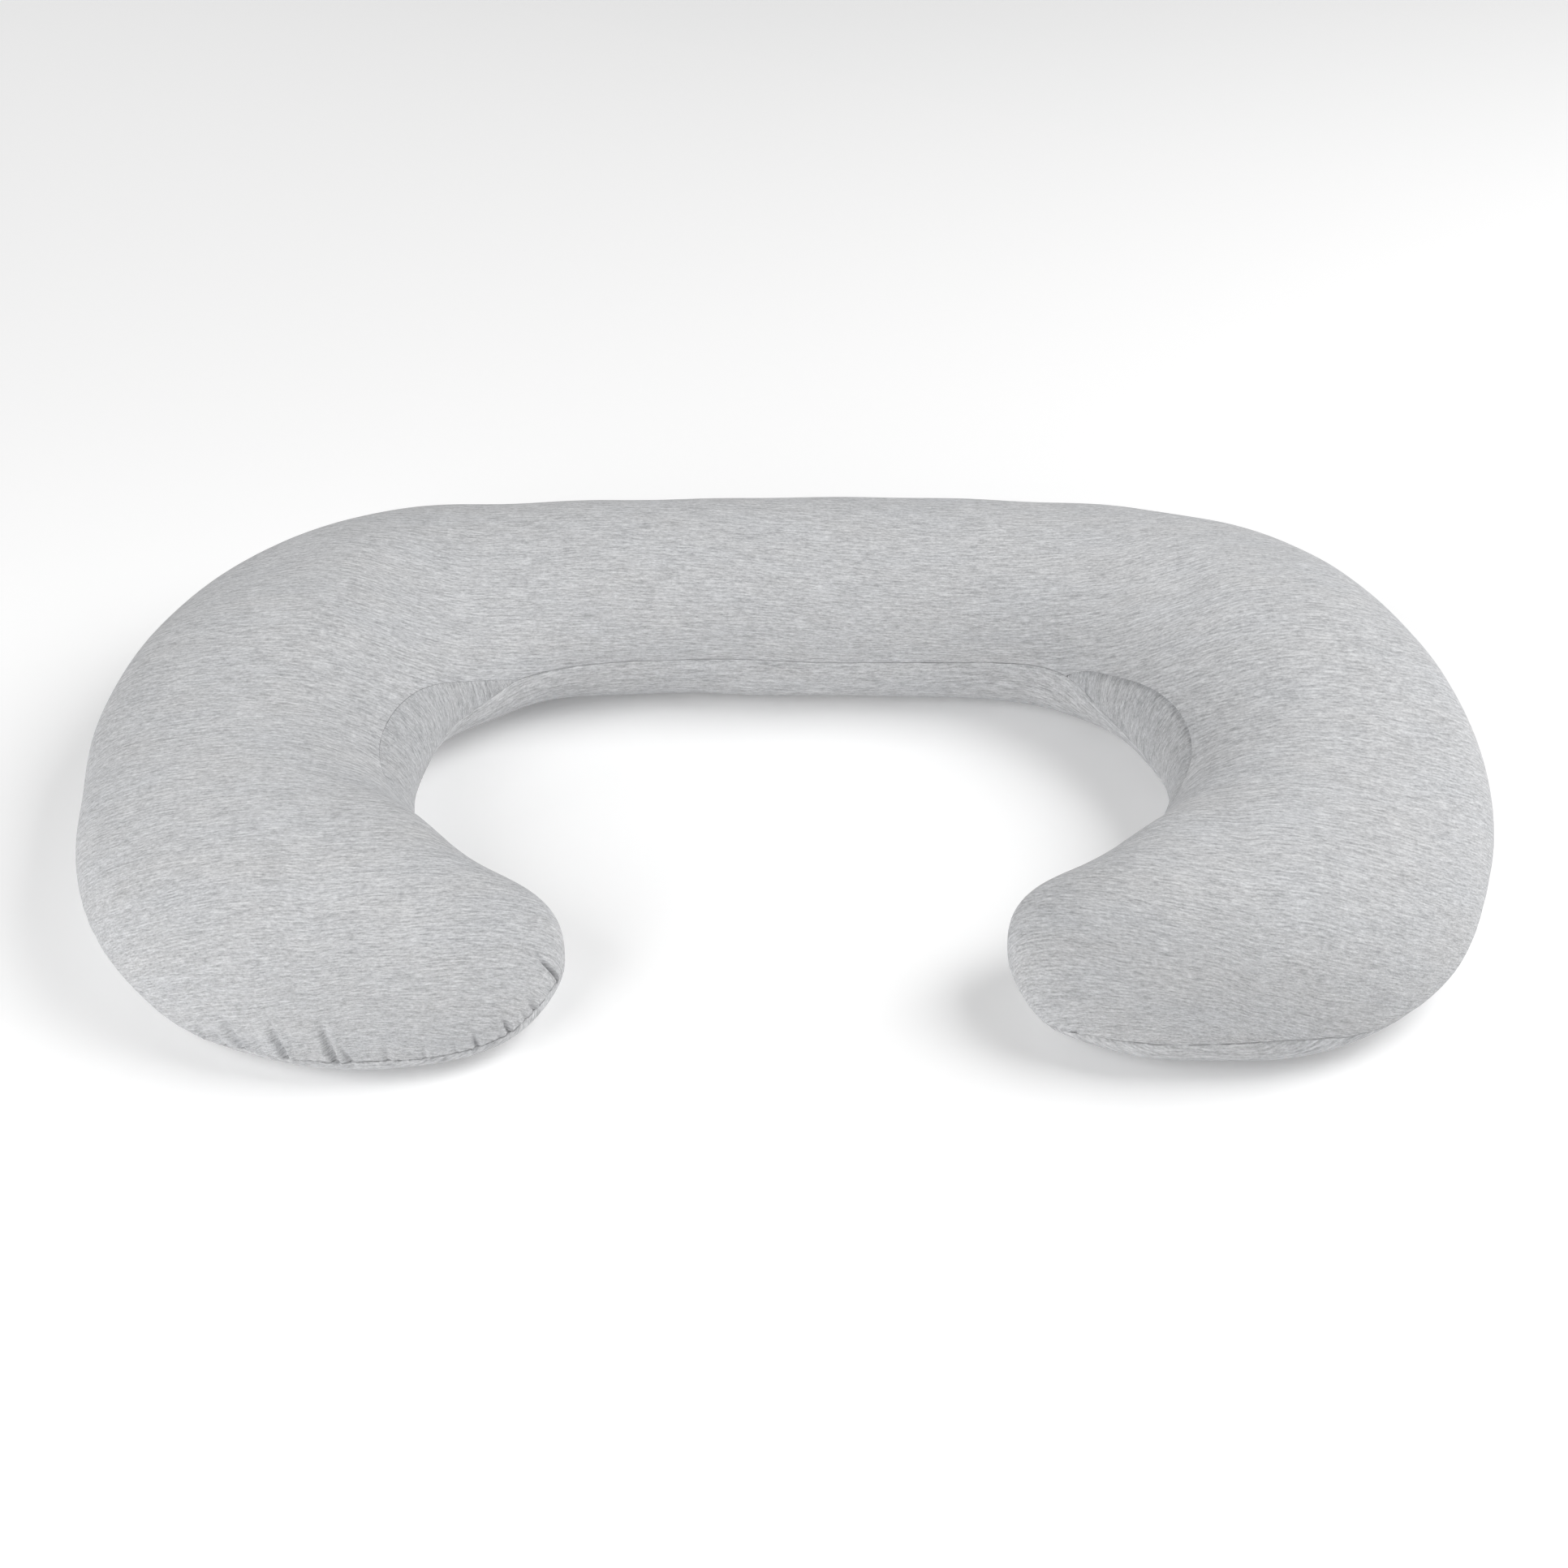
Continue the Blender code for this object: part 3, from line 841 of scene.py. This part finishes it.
def cloth_plan(pillow, t, kind, base):
    """Where each point of the cover lies on its flat pattern: its length of cloth from the middle line, along
    its rib. The courses slip forwards where the cloth is drawn down, and slant on the right."""
    middle = pillow.middle(t)
    away = pillow.seam(t) - middle
    away /= np.linalg.norm(away, axis=1, keepdims=True)
    from_top = cloth_lengths(base)
    under = np.broadcast_to(kind == UNDER_PANEL, from_top.shape)
    out = np.where(under, from_top[:, -1:] - from_top, from_top)
    plan = middle[:, None] + away[:, None] * out[..., None]
    below = np.maximum(SLIP_BOTTOM - base[..., 2], 0)
    back_wall = smooth_step(BACK_WALL_FROM, BACK_WALL_TO, away[:, 1:]) * below
    slip = COURSE_SLIP * (CROWN_Z - base[..., 2] - back_wall)
    slant = COURSE_SLANT * np.maximum(base[..., 0], 0) * np.maximum(COURSE_SLANT_BACK - base[..., 1], 0)
    across = plan[..., 1] + np.where(under, 0, slant - slip - course_turn(base))
    return np.stack([plan[..., 0], across, np.where(under, UNDER_PANEL, TOP_PANEL)], axis=2)


def course_turn(base):
    """How far the top panel's courses are shifted back, to hang at the corners and be level at the tips."""
    aside, y = np.abs(base[..., 0]), base[..., 1]
    hang = HANG * smooth_step(HANG_FROM, HANG_TO, aside) * smooth_step(HANG_FRONT, HANG_BACK, y)
    level = LEVEL * np.maximum(LEVEL_FROM - aside, 0) * smooth_step(LEVEL_BACK, LEVEL_FRONT, y)
    lean = np.zeros_like(y)
    for x_middle, y_middle, reach, slope in COURSE_LEANS:
        near = np.exp(-((base[..., 0] - x_middle) ** 2 + (y - y_middle) ** 2) / reach**2)
        lean += slope * (base[..., 0] - x_middle) * near
    return hang + level - lean


# ---- the cover
def cover_rows(pillow, ring):
    """The rib shares of every row of the cover, and the panel or backing that each row belongs to."""
    upper, lower = lens(pillow, ring.t)
    near = np.array((0.0,) + ROWS_FROM_SEAM)
    above = np.concatenate([near, np.linspace(near[-1], 1, PLAIN_ROWS_ABOVE + 1)[1:]])
    below = np.concatenate([near, np.linspace(near[-1], 1, PLAIN_ROWS_BELOW + 1)[1:]])
    top = upper[:, None] + (1 - upper[:, None]) * above[::-1]
    behind = np.concatenate([[0], np.linspace(BACKING_EDGE, 1 - BACKING_EDGE, BACKING_ROWS - 2), [1]])
    back = upper[:, None] + (lower - upper)[:, None] * behind
    under = lower[:, None] - (1 + lower[:, None]) * below
    kind = np.repeat([TOP_PANEL, BACKING, UNDER_PANEL], [len(above), BACKING_ROWS, len(below)])
    return np.concatenate([top, back, under], axis=1), kind


def seam_places(seams, kind, base):
    """For each point of a panel, the distance run along its seam to the nearest place, and how far it is."""
    run, far = np.zeros(base.shape[:2]), np.zeros(base.shape[:2])
    for panel, side in ((TOP_PANEL, "upper"), (UNDER_PANEL, "lower")):
        rows = kind == panel
        run[:, rows], far[:, rows] = seams[side].near(base[:, rows])
    return run, far


def cover_depth(pillow, ring, kind, run, far, right_end):
    """How far each point of the cover is sunk: at its seam, gathers and puckers, or behind a gusset."""
    tight = tightness(ring.t)
    depth = groove(far, tight)
    for panel, drawn_in, side in ((TOP_PANEL, gather_depth, "top"), (UNDER_PANEL, pinch_depth, "under")):
        rows = kind == panel
        along, away = run[:, rows], far[:, rows]
        depth[:, rows] += drawn_in(along, away, GATHERS)
        depth[:, rows] += drawn_in(right_end - along, away, GATHERS_RIGHT)
        depth[:, rows] -= puckers(along, away, PUCKER_HEIGHT, PUCKER_LENGTH, PUCKER_REACH, PUCKER_SEEDS[side])
    upper, lower = lens(pillow, ring.t)
    tall = np.clip((upper - lower) / LENS_OPEN, 0, 1)
    behind = np.flatnonzero(kind == BACKING)
    depth[:, behind] = (SEAM_DEPTH * tight[:, 0] + BACKING_DEPTH * tall)[:, None]
    depth[:, behind[[0, -1]]] = SEAM_DEPTH * tight
    return depth


def build_cover(pillow, puff, seams):
    """The top and the under panel, sewn together round the edge, with a backing behind each gusset."""
    ring = Ring(pillow, RIB_STEP, GATHER_RIB_STEP, TIP_RIB_STEP, GATHER_RIB_STEP, CREASE_RIB_STEP)
    v, kind = cover_rows(pillow, ring)
    base = pillow.grid(ring.t, v)
    run, far = seam_places(seams, kind, base)
    depth = cover_depth(pillow, ring, kind, run, far, seams["upper"].run_at(pillow.wall_start))
    points = displaced(pillow, puff, ring.t, v, base, depth)
    _, faces = loft_faces(ring, len(kind))
    item, used = mesh_object("cover", points.reshape(-1, 3), faces)
    plan = cloth_plan(pillow, ring.t, kind, base)
    # On the wall of the hollow the under panel's courses follow its seam
    wall = np.ix_((ring.t > pillow.wall_start) & (ring.t < pillow.wall_end), kind == UNDER_PANEL)
    plan[..., 0][wall] = -run[wall]
    plan[..., 1][wall] = far[wall]
    store_plan(item, plan.reshape(-1, 3)[used])
    weld(item)
    return item


# ---- the gussets
def gusset_depth(seams, name, t, base):
    """How far each point of a gusset is sunk, and how far it is from the nearer of its two seams."""
    upper_run, upper_far = seams["upper"].near(base)
    lower_run, lower_far = seams["lower"].near(base)
    run = np.where(upper_far < lower_far, upper_run, lower_run)
    far = np.where(upper_far < lower_far, upper_far, lower_far)
    opened = np.linalg.norm(base[:, :1] - base[:, -1:], axis=2)
    valley = VALLEY_DEPTH[name] * np.exp(-upper_far / VALLEY_WIDTH) * smooth_step(0, VALLEY_OPEN, opened)
    fine = puckers(run, far, STITCH_HEIGHT, STITCH_LENGTH, STITCH_REACH, PUCKER_SEEDS["stitches"])
    coarse = puckers(run, far, PUCKER_HEIGHT, PUCKER_LENGTH, PUCKER_REACH, PUCKER_SEEDS["gusset"])
    return np.maximum(groove(far, tightness(t)), valley) - coarse - fine, far


def build_gusset(pillow, puff, seams, name, start, end):
    """One gusset's cloth: a thin closed lens sewn in along both edges, with its weave turned crosswise."""
    places, distance = pillow.distances(pillow.wall_start, pillow.wall_end)
    half = (end - start) / 2 * GUSSET_END
    runs = (start + end) / 2 + half * np.sin(np.linspace(-math.pi / 2, math.pi / 2, GUSSET_RIBS))
    t = np.interp(runs, distance, places)
    upper, lower = lens(pillow, t)
    across = (1 + GUSSET_END * np.sin(np.linspace(math.pi / 2, -math.pi / 2, GUSSET_ROWS))) / 2
    v = lower[:, None] + (upper - lower)[:, None] * across
    base = pillow.grid(t, v)
    depth, far = gusset_depth(seams, name, t, base)
    face = displaced(pillow, puff, t, v, base, depth)
    thick = GUSSET_CLOTH * (GUSSET_RIM_SHARE + (1 - GUSSET_RIM_SHARE) * np.clip(far / GUSSET_RIM, 0, 1))
    back = face - normals(pillow, t, v) * thick[..., None]
    points = np.concatenate([face.reshape(-1, 3), back.reshape(-1, 3)])
    item, used = mesh_object(name + "_cloth", points, sheet_faces(*v.shape))
    runs_across = np.tile(runs[:, None], (1, GUSSET_ROWS))
    plan = np.stack([cloth_lengths(base), runs_across, np.full(v.shape, GUSSET_PANEL)], axis=2).reshape(-1, 3)
    store_plan(item, np.concatenate([plan, plan])[used])
    weld(item)
    return item


# ---- materials
def new_material(name):
    """A material, with its node tree and its Principled shader."""
    material = bpy.data.materials.new(name)
    material.use_nodes = True
    return material, material.node_tree, material.node_tree.nodes["Principled BSDF"]


def finish(shader, values):
    """Sets a shader's own inputs, by their names."""
    for slot, value in values.items():
        shader.inputs[slot].default_value = value


def feed(tree, slot, value):
    """Links a socket to an input, or sets the input to a number, vector or colour."""
    if isinstance(value, bpy.types.NodeSocket):
        tree.links.new(value, slot)
    else:
        slot.default_value = value


def operate(tree, kind, operation, first, second):
    """A Math or Vector Math node whose two inputs are sockets or values; returns the node."""
    node = tree.nodes.new(kind)
    node.operation = operation
    feed(tree, node.inputs[0], first)
    feed(tree, node.inputs[1], second)
    return node


def times(tree, first, second):
    """The product of two inputs."""
    return operate(tree, "ShaderNodeMath", "MULTIPLY", first, second).outputs[0]


def plus(tree, first, second):
    """The sum of two inputs."""
    return operate(tree, "ShaderNodeMath", "ADD", first, second).outputs[0]


def around(tree, middle, socket, swing):
    """A socket times its swing, around a middle value, and kept between 0 and 1."""
    node = operate(tree, "ShaderNodeMath", "ADD", times(tree, socket, swing), middle)
    node.use_clamp = True
    return node.outputs[0]


def mixed(tree, blend, factor, first, second):
    """Two colours mixed."""
    node = tree.nodes.new("ShaderNodeMix")
    node.data_type = "RGBA"
    node.blend_type = blend
    feed(tree, node.inputs["Factor"], factor)
    feed(tree, node.inputs["A"], first)
    feed(tree, node.inputs["B"], second)
    return node.outputs["Result"]


def noise(tree, place, size, detail=0.0):
    """A noise between about -1 and 1 whose grains have that size along and across the cloth."""
    node = tree.nodes.new("ShaderNodeTexNoise")
    node.inputs["Scale"].default_value = 1.0
    node.inputs["Detail"].default_value = detail
    grains = (1 / size[0], 1 / size[1], PANEL_STEP)
    scaled = operate(tree, "ShaderNodeVectorMath", "MULTIPLY", place, grains)
    feed(tree, node.inputs["Vector"], scaled.outputs[0])
    centred = operate(tree, "ShaderNodeMath", "SUBTRACT", node.outputs["Fac"], NOISE_MIDDLE)
    return times(tree, centred.outputs[0], NOISE_SPREAD)


def noises(tree, place, grains):
    """The sum of noises of those sizes, each times how much it counts."""
    total = None
    for size, weight in grains:
        part = times(tree, noise(tree, place, size), weight)
        total = part if total is None else plus(tree, total, part)
    return total


def jersey(name, shade, fineness):
    """Heather jersey: dashes of dark and light fibre along the cloth's courses, matt, with a soft nap. shade
    makes its fibres lighter or darker, and below 1 it is painted shade; fineness makes its dashes smaller."""
    material, tree, shader = new_material(name)
    cloth = tree.nodes.new("ShaderNodeAttribute")
    cloth.attribute_name = "cloth"
    place = cloth.outputs["Vector"]

    drift = tree.nodes.new("ShaderNodeCombineXYZ")
    feed(tree, drift.inputs["Y"], times(tree, noise(tree, place, COURSE_DRIFT), COURSE_DRIFT_HEIGHT))
    place = operate(tree, "ShaderNodeVectorMath", "ADD", place, drift.outputs[0]).outputs[0]

    dashes = [((size[0] / fineness, size[1] / fineness), weight) for size, weight in HEATHER]
    streaks = noises(tree, place, dashes)
    ramp = tree.nodes.new("ShaderNodeValToRGB")
    # A shade below 1 darkens all three fibres: painted shade, used on the gussets
    dark, middle, light = ([shade * part for part in fibre] + [1] for fibre in FIBRES)
    stops = ramp.color_ramp.elements
    stops[0].color = dark
    stops[1].color = light
    stops.new(0.5).color = middle
    feed(tree, ramp.inputs["Fac"], around(tree, 0.5, streaks, HEATHER_CONTRAST))

    cloud = around(tree, 0.5, noise(tree, place, CLOUD, CLOUD_DETAIL), CLOUD_CONTRAST)
    tint = mixed(tree, "MIX", cloud, (*BLUER, 1), (*WARMER, 1))
    colour = mixed(tree, "MULTIPLY", 1.0, ramp.outputs["Color"], tint)
    feed(tree, shader.inputs["Base Color"], colour)

    feed(tree, shader.inputs["Roughness"], around(tree, JERSEY_ROUGHNESS, streaks, ROUGHNESS_SWING))
    finish(shader, JERSEY_FINISH)

    bump = tree.nodes.new("ShaderNodeBump")
    bump.inputs["Strength"].default_value = 1.0
    bump.inputs["Distance"].default_value = KNIT_HEIGHT
    feed(tree, bump.inputs["Height"], noises(tree, place, KNIT))
    feed(tree, shader.inputs["Normal"], bump.outputs["Normal"])
    return material


# ---- the studio
def build_floor():
    """A plain pale floor, which isn't part of the object."""
    bpy.ops.mesh.primitive_plane_add(size=FLOOR_SIDE)
    floor = bpy.context.object
    floor.name = "floor"
    white, _, shader = new_material("floor_white")
    finish(shader, FLOOR_FINISH)
    floor.data.materials.append(white)


def area_light(name, place, target, size, power, spread=math.pi):
    """A square lamp that stands at a place and looks at a target."""
    data = bpy.data.lights.new(name, "AREA")
    data.size = size
    data.energy = power
    data.spread = spread
    light = bpy.data.objects.new(name, data)
    light.location = place
    light.rotation_euler = (Vector(target) - Vector(place)).to_track_quat("-Z", "Y").to_euler()
    bpy.context.scene.collection.objects.link(light)


def softbox(name, bearing, height, distance, power):
    """A softbox that looks at the pillow, by its bearing from the front and its angle above the floor."""
    turn, lift = math.radians(bearing), math.radians(height)
    way = Vector((math.sin(turn) * math.cos(lift), -math.cos(turn) * math.cos(lift), math.sin(lift)))
    area_light(name, Vector(LIGHT_TARGET) + way * distance, LIGHT_TARGET, SOFTBOX_WIDTH * distance, power)


def build_light():
    """A pale surround, the softboxes, and the weak lamp behind the pillow."""
    world = bpy.data.worlds.new("studio")
    world.use_nodes = True
    background = world.node_tree.nodes["Background"]
    background.inputs["Color"].default_value = WHITE
    background.inputs["Strength"].default_value = WORLD_STRENGTH
    bpy.context.scene.world = world
    for row in SOFTBOXES:
        softbox(*row)
    area_light("floor_light", **FLOOR_LIGHT)
    bpy.context.scene.view_settings.view_transform = "Standard"


def build_camera():
    """The camera at the photograph's viewing angle."""
    data = bpy.data.cameras.new("camera")
    data.sensor_width = SENSOR
    data.lens = FOCAL_PIXELS / PHOTO_SIDE * SENSOR
    camera = bpy.data.objects.new("camera", data)
    back = Vector((0, -math.cos(CAMERA_PITCH), math.sin(CAMERA_PITCH)))
    camera.location = Vector(CAMERA_TARGET) + back * CAMERA_DISTANCE
    camera.rotation_euler = (-back).to_track_quat("-Z", "Y").to_euler()
    bpy.context.scene.collection.objects.link(camera)
    bpy.context.scene.camera = camera


def main():
    """Builds the pillow's cloth and the studio round it."""
    pillow = Pillow()
    puff = Puff(pillow)
    seams = {side: SeamLine(pillow, side) for side in ("upper", "lower")}

    cover = build_cover(pillow, puff, seams)
    cover.data.materials.append(jersey("cover_jersey", 1.0, 1.0))
    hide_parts("pillow")
    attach(cover, "root")

    # The gussets' jersey has darker fibres: painted shade for the hollow's inner corners
    crosswise = jersey("gusset_jersey_painted_shade", GUSSET_PAINTED_SHADE, GUSSET_FINENESS)
    for gusset in GUSSETS:
        piece = build_gusset(pillow, puff, seams, gusset[0], gusset[1], gusset[3])
        piece.data.materials.append(crosswise)
        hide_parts(gusset[0])
        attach(piece, "root")

    build_floor()
    build_light()
    build_camera()


main()
